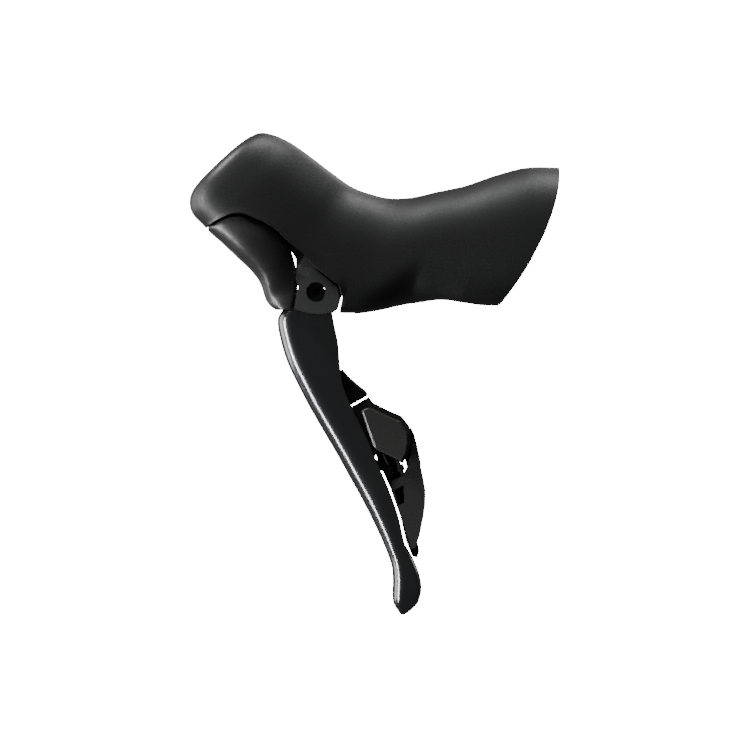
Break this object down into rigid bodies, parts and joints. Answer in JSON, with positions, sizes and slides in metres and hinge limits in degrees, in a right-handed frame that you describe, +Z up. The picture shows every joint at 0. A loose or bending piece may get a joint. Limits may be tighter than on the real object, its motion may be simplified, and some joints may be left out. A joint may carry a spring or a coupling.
{
  "type": "brake shift lever",
  "caption": "Right-hand drop-bar lever: a rubber-hooded bracket with a hydraulic master cylinder, a pivoting brake blade and two electronic shift buttons behind it.",
  "frame": {"origin": "on the handlebar's axis at the middle of the clamp band", "axes": "+X back along the bicycle, +Y to the outboard side, +Z up"},
  "size_m": [0.1163, 0.0358, 0.1521],
  "materials": {
    "rubber": "soft matte, fine grain",
    "body_resin": "glass-filled resin, satin",
    "cover_gloss": "smooth, soft gloss",
    "blade_metal": "dark grey anodised, satin gloss",
    "switch_resin": "fine-textured resin",
    "steel": "turned steel",
    "black_steel": "blackened steel",
    "alloy": "machined aluminium",
    "seal_rubber": "moulded rubber",
    "circuit": "solder mask",
    "brass": "turned brass"
  },
  "bodies": {
    "bracket": {"hood_cover": "rubber", "bracket_body": "body_resin", "clamp_band": "steel", "clamp_bolt": "steel", "clamp_nut": "steel", "coin_cell": "steel", "cell_cover": "body_resin", "cell_cover_screw_1": "steel", "cell_cover_screw_2": "steel", "circuit_board": "circuit", "wire_port_plug": "seal_rubber", "reservoir_diaphragm": "seal_rubber", "reservoir_lid": "alloy", "reservoir_screw_1": "steel", "reservoir_screw_2": "steel", "reservoir_screw_3": "steel", "reservoir_screw_4": "steel", "bleed_screw": "black_steel", "master_cylinder": "alloy", "piston_stop_ring": "steel", "piston_spring": "steel", "hose_fitting": "brass", "lever_axle": "black_steel", "axle_bush_inboard": "brass", "axle_bush_outboard": "brass", "lever_return_spring": "steel"},
    "arm": {"link_arm": "alloy", "trunnion_pin": "steel"},
    "rod": {"push_rod": "steel"},
    "piston": {"master_piston": "alloy", "primary_seal": "seal_rubber", "secondary_seal": "seal_rubber"},
    "blade": {"lever_blade": "blade_metal", "front_cover": "cover_gloss", "front_cover_screw": "steel", "reach_adjust_screw": "black_steel", "switch_housing": "switch_resin", "switch_cover": "switch_resin", "cable_boot": "seal_rubber", "switch_cable": "seal_rubber", "front_button_pin": "steel", "rear_button_pin": "steel", "front_button_spring": "steel", "rear_button_spring": "steel"},
    "front_button": {"front_button": "switch_resin"},
    "rear_button": {"rear_button": "switch_resin"}
  },
  "joints": [
    {"name": "lever_pull", "type": "hinge", "parent": "bracket", "child": "arm", "pos_m": [-0.0527, 0, -0.0124], "axis": [0, -1, 0], "range_deg": [0, 20], "stiffness_Nm_per_rad": 0.25, "springref_deg": -11.46, "deforming": ["lever_return_spring"]},
    {"name": "reach_adjust", "type": "hinge", "parent": "arm", "child": "blade", "pos_m": [-0.0527, 0, -0.0124], "axis": [0, -1, 0], "range_deg": [0, 5]},
    {"name": "push_rod_swing", "type": "hinge", "parent": "arm", "child": "rod", "pos_m": [-0.04231, 0, -0.0064], "axis": [0, -1, 0], "range_deg": [-20, 0]},
    {"name": "piston_slide", "type": "slide", "parent": "bracket", "child": "piston", "axis": [-0.6428, 0, 0.766], "range_m": [0, 0.00418], "deforming": ["piston_spring"]},
    {"name": "front_button_press", "type": "hinge", "parent": "blade", "child": "front_button", "pos_m": [-0.033, 0.0016, -0.06], "axis": [0.3746, 0, -0.9272], "range_deg": [0, 5], "stiffness_Nm_per_rad": 0.3, "springref_deg": -1.72, "deforming": ["front_button_spring"]},
    {"name": "rear_button_press", "type": "hinge", "parent": "blade", "child": "rear_button", "pos_m": [-0.0292, 0.0006, -0.0609], "axis": [0.3746, 0, -0.9272], "range_deg": [0, 5], "stiffness_Nm_per_rad": 0.3, "springref_deg": -1.72, "deforming": ["rear_button_spring"]}
  ],
  "couplings": [
    {"joint": "push_rod_swing", "follows": "lever_pull", "ratio": -1},
    {"joint": "piston_slide", "follows": "lever_pull", "m_per_rad": 0.011939}
  ]
}
